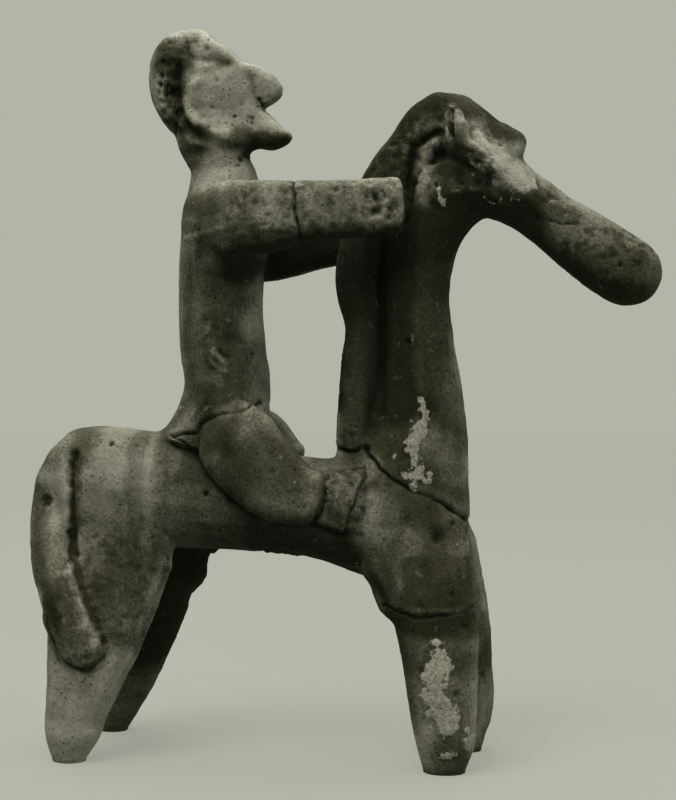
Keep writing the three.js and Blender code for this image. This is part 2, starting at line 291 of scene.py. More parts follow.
# Cracks in the clay: line, y window, half width, depth, and whether the far side has it too.
CRACKS = [
    ([(-47, 88.8), (-43.6, 89.7), (-39.3, 90), (-37.1, 92.7), (-34.5, 94.4), (-31.2, 95.7),
      (-27.8, 96), (-23.9, 97.1), (-22.8, 98.2), (-21.1, 97.1), (-19.1, 96.1)],
     (-26, -4), 0.55, 1.2, True),
    ([(-47, 88.8), (-42.5, 86.4), (-39.2, 84.4), (-38.3, 81.4), (-36, 78.4), (-32.6, 75.6),
      (-29.7, 72.2), (-27.6, 70.6)], (-24, -8), 0.45, 0.9, False),
    ([(-1.4, 85.4), (3.3, 84.9), (6.6, 86), (8.3, 84.1), (11.6, 80.1), (17.1, 76.6), (25.2, 72.9),
      (30.6, 70), (33.9, 66.9), (36.5, 64)], (-22, -1), 0.5, 1.2, True),
    ([(12.1, 43.7), (15.1, 43.4), (18.3, 42.4), (23.7, 41.5), (29, 41.9), (34.3, 42.8), (40, 44.4)],
     (-27, -2), 0.42, 0.8, False),
    ([(-10.6, 160), (-10.4, 158.2), (-9.9, 153.7), (-9.2, 148.3), (-8.6, 143), (-8.2, 139)],
     (-27, -9), 0.68, 1.1, False),
    ([(-2.1, 77.3), (-1, 79.4), (7.2, 80.9), (7.7, 77.9), (4.7, 69.5), (2.6, 62.5), (-5.7, 64.8),
      (-5.1, 67), (-2.1, 72.7)], (-22, -8), 0.4, 0.5, False),
    ([(-78.7, 40.4), (-77.3, 36.1), (-75.2, 32.6), (-73.6, 29.3), (-72.1, 27.2), (-70.2, 26),
      (-68, 25.6), (-65.5, 26.1), (-63.4, 27.6), (-62, 29.8)], (-30, -12), 0.5, 0.6, False),
    ([(-23.9, 182.6), (-23, 181.4), (-22.1, 179.9)], (-6, -1), 0.4, 0.7, True),
    ([(56.9, 147.1), (59.8, 146.4), (62.1, 146.5), (65, 146.5)], (-14, -4), 0.4, 0.5, False),
    ([(56.1, 152.4), (57.2, 153.1), (59.5, 153.5)], (-14, -4), 0.35, 0.5, False),
]

# Soft strokes of a finger or a tool: line, y window, half width, height (negative presses in),
# whether the far side has it too.
STROKES = [
    # the rim of the cheek, from the temple down round the jaw to the beard
    ([(-39.8, 187), (-42.2, 185.4), (-42.6, 182), (-42.4, 178.7), (-40.3, 176)],
     (-14, -2), 1.0, 0.45, True),
    ([(-40.3, 176), (-37, 175.2), (-33.4, 175.6)], (-14, -2), 1.1, 0.2, True),
    # the cheek, pressed flat
    ([(-36, 178.4), (-28, 177.4)], (-14, -2), 3.0, 0.25, True),
    ([(-36.6, 180.8), (-27, 180.4)], (-14, -2), 2.2, 0.55, True),
    # the jaw's underside, filled out ahead of its corner
    ([(-34, 171.4), (-28, 171.8)], (-14, -2), 2.4, 0.6, True),
    # under the beard, where it meets the throat
    ([(-26.8, 167), (-24.8, 168.2)], (-14, 14), 1.7, -1.0, False),
    # the blunt tip of the beard
    ([(-21, 169.4), (-17, 169.6)], (-14, 14), 1.6, 0.25, False),
    # the socket above the cheek
    ([(-32.1, 192.4), (-34.7, 190.8), (-37.6, 189.6)], (-14, -2), 1.3, -0.3, True),
    # between the cheek and the nose
    ([(-26, 190), (-25.4, 186), (-23.7, 182.6)], (-9, -1), 1.5, -0.3, True),
    ([(-20.4, 187.6), (-20.2, 184.6)], (-9, -1), 2.2, 0.3, True),
    # the step at the end of the roll of hair
    ([(-50, 173), (-47.4, 174), (-46, 176.2), (-45.4, 179)], (-14, -2), 0.9, -0.8, True),
    # between the horse's neck and its mane
    ([(26.4, 172.3), (23.2, 170.4), (20.4, 168.4), (19, 164), (19, 156), (17.6, 148)],
     (-13, -3), 1.2, -1.3, True),
    ([(17.6, 148), (13, 140), (11.7, 126), (11.7, 96)], (-13, -3), 1.6, -0.7, True),
    # from the ear down the neck
    ([(25, 168.6), (23.6, 165), (22.8, 160), (22.2, 152.4)], (-13, -3), 1.8, 1.0, True),
    # the slot of the ear and its two folds
    ([(31.1, 176.3), (31.3, 174.1), (30.9, 170.4)], (-14, -6), 0.8, -1.2, True),
    ([(28.8, 175.8), (29.4, 173.1), (29.7, 169.9)], (-14, -5), 0.7, 0.5, True),
    ([(32.8, 176.6), (33.3, 173.4), (33.1, 170.7)], (-14, -5), 0.7, 0.4, True),
    # the hollow behind the ear, and the skin below it
    ([(22.5, 170.2), (26.5, 171.2)], (-13, -4), 1.3, -0.8, True),
    ([(27.1, 166.8), (27.9, 164.7)], (-13, -4), 1.6, 0.9, True),
    # the fold that runs from the ear to the brow
    ([(34.2, 173.3), (35.5, 168.5), (38.9, 165.4)], (-14, -3), 0.8, 0.45, True),
    # the brow's edge
    ([(33.2, 173), (34.6, 169.2), (37, 166.2), (40.4, 164.6), (44.5, 161.6)],
     (-14, -3), 1.0, 0.7, True),
    # the lip below the hollow
    ([(27.6, 153.9), (30.4, 155.5), (34.1, 156.2), (38.4, 155.8), (42.2, 154.7)],
     (-14, -4), 1.1, 0.5, True),
    # the ledge below the shoulder
    ([(-41.8, 143.1), (-34.2, 144.3), (-26.3, 146.4)], (-28, -4), 0.9, 0.4, False),
    # ridge and scratches on the rider's side
    ([(-29.4, 118.2), (-27.9, 111.3), (-28.2, 104.3), (-28.2, 99.1)], (-18, -6), 1.3, 0.45, False),
    ([(-34.7, 112.4), (-33.9, 110.7), (-31.5, 109.1)], (-18, -6), 0.7, 0.8, False),
    ([(-35.6, 109.6), (-33.4, 107.6), (-30.6, 106.8)], (-18, -6), 0.7, 0.5, False),
    ([(-37, 119), (-36.4, 116)], (-18, -6), 1.0, 0.5, False),
    ([(-33, 112.4), (-30.9, 110.7)], (-18, -6), 0.6, -0.5, False),
    # right of the tail
    ([(-74, 84), (-74.6, 76.7), (-74.5, 68.5), (-73.8, 61.8), (-72.6, 56.4)],
     (-28, -6), 1.1, -1.0, False),
    ([(-72.6, 56.4), (-70.8, 51.7), (-67.8, 45.2), (-64.9, 39.6)], (-28, -6), 0.7, -0.25, False),
    # round the end of the tail
    ([(-76.6, 42), (-74.4, 36.6), (-71.8, 31), (-69.8, 26.6), (-66.6, 25), (-62.6, 26.4),
      (-61.2, 30.3), (-62.6, 35)], (-30, -14), 0.8, -0.3, False),
    # the forelock's upper edge
    ([(45, 174.2), (51.4, 170.4)], (-5, 5), 1.8, 0.6, False),
    # the web between the far hind leg and the belly
    ([(-39, 57), (-40.6, 54.8)], (4, 28), 2.0, 2.3, False),
    ([(-41.6, 51.6), (-42.8, 48.6)], (4, 28), 1.8, 0.9, False),
    ([(-48, 37), (-51, 28)], (4, 28), 2.0, 0.6, False),
    # the muzzle's lower edge
    ([(60, 131.8), (67.8, 127.6), (74, 124)], (-9, 9), 3.0, 0.4, False),
    # the fronts of the hind feet
    ([(-66.4, 2), (-66, 8)], (-30, -10), 2.4, 0.8, False),
    ([(-55.4, 16), (-59, 8)], (10, 32), 2.6, 1.0, False),
    # the front of the far fore foot and the corner behind the near one
    ([(39.8, 0.5), (42.6, 8)], (4, 22), 2.4, -1.5, False),
    ([(9, 49.4), (12.6, 45.4)], (-22, -2), 2.2, -0.9, False),
    # the tail's outer edge, drawn in above the leg
    ([(-81.4, 46.6), (-80.2, 42)], (-30, -8), 2.0, -0.8, False),
    # where a flake came off the muzzle
    ([(53.9, 158.5), (54.3, 155.9), (54.2, 153.4)], (-12, 2), 0.6, -0.4, False),
    ([(55, 152.6), (57.2, 153.9), (59, 153.9)], (-13, -3), 0.7, -0.5, False),
]

# Paler and darker streaks, partly the clay's own bands and partly painted shade and painted light:
# line, y window, half width, strength (positive darkens), whether the far side has it too.
STREAKS = [
    # the tail painted paler above its bend and along its lit lower edge, with a painted shadow left
    # of its end
    ([(-78.6, 86), (-79.6, 78), (-78, 68)], (-30, -6), 4.0, -0.5, False),
    ([(-73, 56), (-69.8, 48), (-65.8, 39.6), (-64, 33)], (-30, -8), 1.6, -0.5, False),
    ([(-74.4, 50), (-71, 43.6)], (-30, -14), 1.6, 0.3, False),
    ([(-81.4, 47), (-80, 41)], (-30, -8), 1.2, -0.5, False),
    # painted shadow in the groove beside the tail
    ([(-72.4, 84), (-73, 74), (-72.6, 64)], (-26, -6), 1.4, 0.7, False),
    # the rider's side: dark down the back of it, pale down the front
    ([(-41.8, 136), (-42, 118), (-41, 100)], (-20, -2), 3.0, 0.5, True),
    ([(-36.4, 119.4), (-35, 113), (-32, 109)], (-18, -6), 1.4, -0.25, False),
    ([(-51, 91), (-47, 93), (-44, 97)], (-16, 2), 2.0, 0.4, True),
    ([(-26.6, 122), (-27.4, 112)], (-20, -2), 2.4, -0.3, True),
    ([(-38.6, 102), (-34, 101.6), (-37, 97), (-38, 92.8)], (-18, -6), 2.0, 0.4, True),
    # painted shade in the slot of the ear
    ([(31.1, 176.3), (31.3, 174.1), (30.9, 170.4)], (-14, -6), 0.8, 1.0, True),
    # rear edges of the legs painted darker as turned from the light, and front edges painted paler
    # as lit
    ([(-85, 74), (-84, 64), (-81, 52), (-77, 42)], (-30, -2), 3.2, 0.6, False),
    ([(2, 60), (9, 52), (15, 42), (19, 30), (22, 12)], (-26, -2), 2.4, 0.55, True),
    ([(-59, 28), (-63, 18), (-68, 4)], (-28, -10), 3.0, -0.6, False),
    ([(-46, 44), (-50, 32), (-55, 14)], (-28, -4), 1.6, 0.4, False),
    ([(38.6, 60), (38.4, 40), (38, 20), (37, 6)], (-26, 2), 1.8, -0.3, False),
    ([(32, 116), (33.6, 102)], (-14, 2), 2.2, -0.4, False),
    ([(34, 96), (36, 80)], (-14, 2), 2.0, -0.15, False),
    # the far foreleg, painted paler as lit from the front, with a darker band between
    ([(35, 62), (36.6, 54), (38.4, 42)], (2, 20), 3.2, -0.8, False),
    ([(38.9, 31), (38.9, 25)], (2, 20), 2.4, 0.35, False),
    ([(37.6, 17), (36.6, 6)], (2, 20), 2.4, -0.45, False),
    # top of the thigh and of the barrel before it
    ([(-22, 95), (-12, 83), (-4, 76)], (-26, -8), 2.6, 0.3, True),
    ([(-8, 82.6), (4, 82)], (-16, 8), 2.0, 0.35, False),
    ([(-40, 88), (-36, 96)], (-20, -8), 3.0, 0.4, True),
    # painted shadow under the arm and in the armpit, a painted highlight along the arm's upper
    # edge, and darker bands on the shoulder
    ([(-24, 139.4), (-10, 140.6), (4, 142), (18, 143.4)], (-26, -10), 2.0, 0.5, False),
    ([(-28, 134.6), (-20, 137.4)], (-20, 12), 3.0, 1.3, False),
    ([(-35, 138), (-31, 137.4)], (-20, -2), 2.0, -0.4, False),
    ([(-40, 152), (-32, 149.6)], (-24, -2), 2.8, 0.45, False),
    ([(-40, 157.6), (-24, 157.4)], (-20, -2), 1.8, -0.35, False),
    ([(-34, 156.4), (-14, 157), (2, 157.6)], (-26, -8), 2.6, 0.25, False),
    ([(-30, 148), (-8, 147.4)], (-26, -10), 2.4, -0.15, False),
    # painted shadow below the jaw and under the beard, with paler strips that lift it
    ([(-42.3, 175), (-40, 173.2)], (-14, -1), 1.5, 0.35, True),
    ([(-38.2, 171.8), (-35.6, 170.4)], (-14, -1), 1.5, -0.4, True),
    ([(-37, 180.4), (-28, 180.2)], (-14, -1), 1.8, -0.25, True),
    ([(-33, 172), (-30, 172.4)], (-14, -1), 2.2, -0.15, True),
    ([(-29, 172.8), (-20, 172.2), (-14.5, 170.8)], (-14, -1), 1.9, 0.9, True),
    # the muzzle's upper and lower edges, the lower one painted dark as the shade under the muzzle
    ([(53, 153), (58.5, 150.8), (64, 148.4)], (-16, 2), 2.0, 0.5, False),
    ([(60, 132.6), (67.8, 128.6), (74, 124.8)], (-16, -2), 2.0, 0.4, False),
    ([(80, 141), (84, 138)], (-16, 4), 2.4, -0.3, False),
    # the near edge of the neck
    ([(-1, 116), (-1.7, 104), (-1.7, 96)], (-12, 6), 1.8, 0.45, False),
    ([(-1.7, 94), (-1.9, 84)], (-12, 6), 2.0, -0.8, False),
    # the cheek
    ([(-39, 184), (-36, 178), (-26, 177), (-22, 176)], (-14, -1), 4.0, -0.12, True),
]

# Single marks: place, y window, radius, depth.
DENTS = [
    ((-82.3, 71), (-30, -4), 2.0, 0.9),
    ((-63.8, 87), (-22, 0), 0.8, 1.0),
    ((-36.2, 73.3), (-22, -6), 1.1, 1.1),
    ((7.4, 85.6), (-18, -4), 1.6, 0.9),
    ((-42.9, 198.1), (-13, -2), 0.6, 0.6),
    ((-38.3, 200), (-13, -2), 0.4, 0.5),
    ((-31.3, 187.9), (-13, -2), 0.4, 0.4),
    ((-30.1, 177.5), (-13, -2), 0.6, 0.5),
    ((-33.8, 175.7), (-13, -2), 0.5, 0.5),
    ((-25.4, 175.8), (-13, -2), 0.5, 0.5),
    ((-28.4, 181.1), (-13, -2), 0.4, 0.4),
    ((-20.9, 183.3), (-13, -1), 0.5, 0.5),
    ((-28.4, 165.8), (-13, -2), 0.8, 0.5),
    ((-28.9, 164), (-13, -2), 0.6, 0.4),
    ((27.4, 62.6), (-22, -8), 2.4, 0.7),
    ((75.8, 135), (-14, -2), 0.8, 0.6),
    ((71, 137.5), (-14, -2), 0.5, 0.4),
    ((80.5, 140), (-14, -2), 0.5, 0.4),
    ((31.5, 66), (-22, -8), 1.0, 0.5),
]

# Coarse, crumbled skin: box as (x0, x1, z0, z1), y window, height of the crumbs, how dark it looks,
# whether the far side has it too.
CRUMBS = [
    ((-52.5, -46.6, 175, 198), (-14, -3), 0.55, 0.25, True),
    ((-50, -40, 190, 200), (-14, -2), 0.4, 0.35, True),
    ((-28, 20, 140, 157), (-30, -18), 0.3, 0.1, False),
    ((9, 20.5, 141, 159), (-30, -8), 0.36, 0.05, False),
    ((3, 29, 150, 182), (-12, -2), 0.4, 0.1, True),
    ((-75, -46, 28, 62), (-28, -8), 0.16, 0.0, True),
    ((-38, -33, 106, 122), (-18, -8), 0.22, 0.1, False),
    ((-25, -12, 52, 60), (-18, 18), 0.35, 0.2, True),
    ((60, 86, 126, 146), (-14, 14), 0.07, 0.05, True),
    ((36, 44, 157, 166), (-14, -3), 0.5, 0.1, True),
    ((-3, 8, 63, 80), (-24, -8), 0.4, -0.06, False),
    ((-52, -45.6, 176, 192), (-14, -3), 0.5, 0.0, True),
    ((-75.8, -73.2, 60, 86), (-28, -6), 0.6, 0.3, False),
]

# Pale crust: a chain of blots as (x, z, radius), and its y window.
CRUSTS = [
    ([(24, 99.7, 0.2), (23.3, 97, 0.2), (22.9, 93.8, 1.3), (21.6, 91, 1.9), (21.3, 88.3, 1.9),
      (21, 85.2, 2.2), (20.5, 83, 1), (21.3, 81.4, 1), (21.7, 78.8, 1.6), (21.5, 77, 0.6)],
     (-14, -4)),
    ([(18.4, 78.8, 0.9), (25, 78.4, 0.9)], (-14, -4)),
    ([(28.6, 34.2, 1.3), (29.6, 31.5, 2.1), (29, 28.2, 2.9), (28, 25.2, 3.3), (27.4, 22, 2.4),
      (28.9, 19.3, 2.8), (30, 16.6, 3.4), (30.8, 14, 2.6), (32.4, 12.4, 0.6)], (-27, -14)),
    ([(36.2, 9.4, 1.2), (36, 8.4, 1.1)], (-27, -12)),
    ([(35.6, 12.6, 0.5), (36.1, 11.4, 0.4)], (-27, -12)),
    ([(30.4, 5.9, 0.6), (32.4, 6.3, 0.6)], (-27, -14)),
    ([(20.1, 115.6, 0.7), (20.3, 117.2, 0.5)], (-12, -6)),
    ([(15.4, 83.6, 0.5), (15.5, 83.9, 0.5)], (-14, -4)),
    ([(27, 158.2, 0.1), (27.3, 155, 0.2), (28.3, 153.1, 0.7), (28, 151.7, 0.3)], (-13, -4)),
    ([(39.6, 153.9, 0), (41.1, 152.3, 0.2), (42.7, 151.9, 0.2), (44.1, 152.6, 0)], (-12, -4)),
    ([(46.8, 152.7, 0), (48.1, 152.3, 0.1), (49.1, 151.8, 0)], (-12, -4)),
]

# A thin pale bloom on the skin: line, y window, half width, strength,
# whether the far side has it too.
BLOOMS = [
    ([(32.6, 174.4), (36.4, 171), (39.8, 168.2), (44.4, 164.6)], (-13, 5), 3.1, 1.0, True),
    ([(44.4, 163.4), (48.2, 159.6), (51, 156.6)], (-13, 5), 3.3, 1.0, True),
    ([(36.6, 164), (39.6, 161.4)], (-13, -3), 1.8, 1.0, True),
    ([(38, 162.2), (39.6, 159.4), (44.4, 157.8), (48.4, 155)], (-13, -4), 2.0, 0.8, True),
    ([(31, 178.2), (32.8, 176.6), (33.3, 173.4)], (-14, -4), 0.9, 0.8, True),
    ([(28.8, 175.8), (29.6, 173.1), (29.8, 169.9)], (-14, -4), 0.9, 0.7, True),
    ([(24.9, 168.5), (23.4, 165), (22.8, 161.6), (22.6, 157.6)], (-13, -4), 2.0, 0.5, True),
    ([(25.9, 168.9), (22.1, 165.2), (21.3, 160.9)], (-13, -2), 1.9, 0.5, True),
    ([(-20, 158.4), (19, 158.2)], (-26, -8), 2.0, 0.5, True),
    ([(14.6, 168.6), (17.5, 167)], (-9, -2), 1.5, 0.5, True),
    ([(19.4, 172.6), (21.8, 176.8)], (-9, -2), 1.6, 0.4, True),
    ([(57.2, 151.6), (60.5, 150.8), (61.6, 149.1)], (-12, -4), 1.4, 0.5, False),
    ([(30.4, 155.9), (34.1, 156.5), (38.4, 156.1)], (-14, -4), 0.7, 0.4, True),
]

# Darker and paler zones, partly left by the fire and partly painted shade and painted light: box, y
# window, strength, softness of the edge.
SOOT_AND_SHADE_ZONES = [
    # the rider, from the hair down
    ((-52, -14, 172, 206), (-14, 14), -0.3, 2.0),
    ((-47.6, -43.2, 174, 194), (-14, 14), 0.7, 1.2),
    ((-50, -42, 183, 194), (-14, 14), 0.4, 1.8),
    ((-53, -41, 190, 198.6), (-12, 12), 0.55, 2.0),
    ((-38, -33.4, 187.6, 191), (-12, -2), 0.3, 1.2),
    ((-35, -28, 192, 196), (-12, -2), -0.35, 1.4),
    # painted shadow below the jaw and under the beard
    ((-46, -36, 167, 175), (-12, 12), 0.5, 1.8),
    ((-26, -14, 166, 172), (-6, 6), 0.35, 1.2),
    ((-38, -20, 156, 168), (-14, 14), -0.2, 2.0),
    ((-27, -20, 157, 166), (-8, 8), -0.25, 2.0),
    ((-24, -12, 182, 192), (-8, 8), 0.25, 2.0),
    ((-34, -25, 182, 189), (-12, -2), -0.15, 2.0),
    ((-13, -7, 149, 160), (-28, -8), 0.3, 1.5),
    ((-46, -20, 143, 157), (-28, 10), 0.4, 3.0),
    ((-38, 8, 139, 146), (-28, -8), 0.3, 2.0),
    ((-38, -26, 96, 140), (-18, 2), 0.56, 2.5),
    ((-30, -18, 100, 116), (-18, 2), 0.25, 3.0),
    ((-31.6, -27.8, 115.4, 120.4), (-18, -4), 0.5, 1.2),
    # the lap and the thigh, with painted shade below the rider's thigh
    ((-36, -26, 84, 95), (-28, -4), 0.85, 2.5),
    ((-30, -12, 84, 98), (8, 30), -0.7, 2.0),
    ((-30, -8, 72, 90), (-28, -8), 0.4, 3.0),
    ((-2, 8, 62, 80), (-22, -8), 0.3, 1.5),
    # rump, flank and belly, with painted shade along the belly and painted light on the near hind
    # foot
    ((-86, -68, 80, 96), (-20, 20), 0.5, 2.5),
    ((-84, -62, -4, 11), (-30, -8), -0.4, 3.0),
    ((-72, -58, 8, 18), (-30, -8), -0.25, 2.5),
    ((-72, -60, 90, 98), (-20, 20), -0.25, 2.0),
    ((-52, -46, 78, 88), (-22, 6), 0.25, 1.5),
    ((-63, -57, 56, 74), (-26, -6), 0.2, 1.5),
    ((-76, -48, 68, 84), (-22, -6), -0.25, 3.0),
    ((-58.6, -54, 52, 91), (-22, 6), 0.34, 0.8),
    ((-51, -47, 52, 91), (-22, 6), 0.3, 0.8),
    ((-46, -36, 76, 90), (-22, 6), 0.4, 2.5),
    ((-50, -40, 52, 66), (-22, 0), -0.45, 2.5),
    ((-66, -52, 40, 50), (-28, -8), 0.2, 3.0),
    ((-46, -22, 48, 84), (-22, 12), 0.4, 5.0),
    ((-64, -44, 48, 64), (-24, 12), 0.35, 5.0),
    ((-74, -50, 30, 56), (-28, -6), 0.34, 4.0),
    ((-79, -73, 32, 50), (-30, -14), 0.5, 2.0),
    ((-75, -69, 34, 42), (-30, -14), 0.25, 2.0),
    ((-24, 6, 46, 68), (-22, 16), 0.6, 4.0),
    # horse's neck and head: darker clay with the arms' painted shadow down the neck, and painted
    # shade under the head and the muzzle
    ((-6, 20, 84, 182), (-12, 12), 0.75, 2.5),
    ((8, 30, 92, 150), (-16, 16), 0.85, 4.0),
    ((26, 38, 84, 94), (-14, 2), 0.25, 3.0),
    ((30, 44, 84, 150), (-16, 16), 0.3, 4.0),
    ((27, 38, 160, 167), (-14, -4), 0.75, 1.5),
    ((27, 41, 150, 162), (-14, -4), 0.75, 1.8),
    ((18, 52, 176, 186), (-10, 10), 0.75, 2.0),
    ((40, 58, 169.4, 181), (-5, 5), 0.9, 1.4),
    ((0, 30, 150, 186), (-10, 10), 0.18, 2.0),
    ((80, 92, 118, 140), (-14, 14), 0.3, 3.0),
    ((26, 56, 140, 155), (-14, 14), 0.9, 4.0),
    ((52, 80, 118, 137), (-14, 14), 0.7, 5.0),
    ((54, 84, 136, 152), (-14, 14), 0.25, 4.0),
    # shoulder and forelegs
    ((12, 34, 66, 84), (-22, 16), 0.55, 3.0),
    ((6, 16, 50, 70), (-22, -8), 0.05, 3.0),
    ((14, 42, 40, 66), (-22, 16), 0.4, 3.0),
    ((18.4, 38.4, 43.8, 57.4), (-24, 2), 0.45, 0.7),
    ((19, 38, 36.5, 42.4), (-25, -8), 0.5, 1.2),
    ((8, 16, 44, 60), (-22, -4), 0.45, 3.0),
    ((4, 15, 60, 76), (-22, -4), -0.12, 3.0),
    ((18, 28, 67, 76), (-22, -6), 0.3, 2.0),
    ((14, 30, 76, 81), (-22, -4), 0.3, 1.6),
    ((19, 27, 95, 101), (-16, -2), 0.3, 2.0),
    ((11, 17, 63, 70), (-22, -6), -0.25, 2.0),
    ((-8, 4, 76, 81), (-20, 8), 0.08, 1.6),
    ((28, 36, 52, 60), (-24, -4), -0.35, 2.5),
    ((28, 38, 76, 84), (-20, 0), -0.4, 2.0),
    ((17, 26, 38, 42.6), (-27, -8), 0.5, 1.4),
    ((18, 27, 2, 14), (-28, -10), -0.35, 2.5),
    ((28, 38, -2, 34), (-26, -12), 0.2, 3.0),
    ((14, 40, 26, 43), (-26, -8), 0.35, 3.0),
    ((24.7, 30.1, 59, 66), (-20, -8), 0.3, 1.2),
    ((24, 36, -2, 10), (-26, -6), 0.25, 2.0),
    # the far arm and the far legs, painted dark as the shade they stand in
    ((-30, 22, 128, 154), (6, 15), 1.3, 3.0),
    ((-66, -36, 20, 66), (4, 30), 0.8, 4.0),
    ((-80, 42, -4, 66), (4, 30), 0.3, 4.0),
]

# Where clay was not drawn over the joints: box, y window.
CRISP = [
    ((-44, 12, 62, 94), (-30, -10)),
    ((-44, 4, 68, 101), (11, 30)),
    ((8, 32, 134, 164), (-30, -6)),
    ((8, 32, 126, 164), (6, 30)),
    ((-96, -60, 20, 94), (-30, -7)),
    ((-60, -10, 162, 206), (-14, 14)),
    ((-2, 62, 84, 190), (-14, 14)),
]

# Forms without edges, rounded by the palm: box, y window.
ROUNDED = [
    ((-100, -52, 58, 100), (-40, 40)),
    ((4, 56, 168, 192), (-4.5, 4.5)),
    ((70, 100, 110, 150), (-20, 20)),
    ((-8, 4, 90, 160), (-8, 8)),
    ((-100, 60, -6, 9), (-40, 40)),
]


def form(surface):
    """Evens out the facets and draws the clay over the joints."""
    surface.smooth(rounds=22)
    surface.round_off(inside_boxes(surface.points, ROUNDED, soft=2.5), rounds=60)
    crisp = inside_boxes(surface.points, CRISP, soft=1.5)
    surface.fill_creases(rounds=80, strength=1 - crisp)
    surface.fill_creases(rounds=6, strength=0.4)
    surface.smooth(rounds=3)


# How far each kind of mark strays from the line that is written down for it.
STRAY = {"crack": 0.5, "stroke": 0.35, "streak": 0.8, "crust": 0.7, "bloom": 0.9}
CRACK_REACH = 5
LIP_PLACE, LIP_WIDTH, LIP_HEIGHT = 1.3, 0.8, 0.1
CRUST_THICKNESS = 0.25
CRUST_EDGE_WIDTH = 1.8
MOST_TORN = 2.4
# strength of the painted shade on surfaces that face down
UNDERSIDE_SHADE = 0.45
PIT_COUNT = 900
PIT_RADII = (0.35, 1.1)
PIT_DEPTH = 0.42
LONE_PIT_RADIUS = 0.8
PIT_SEED = 41


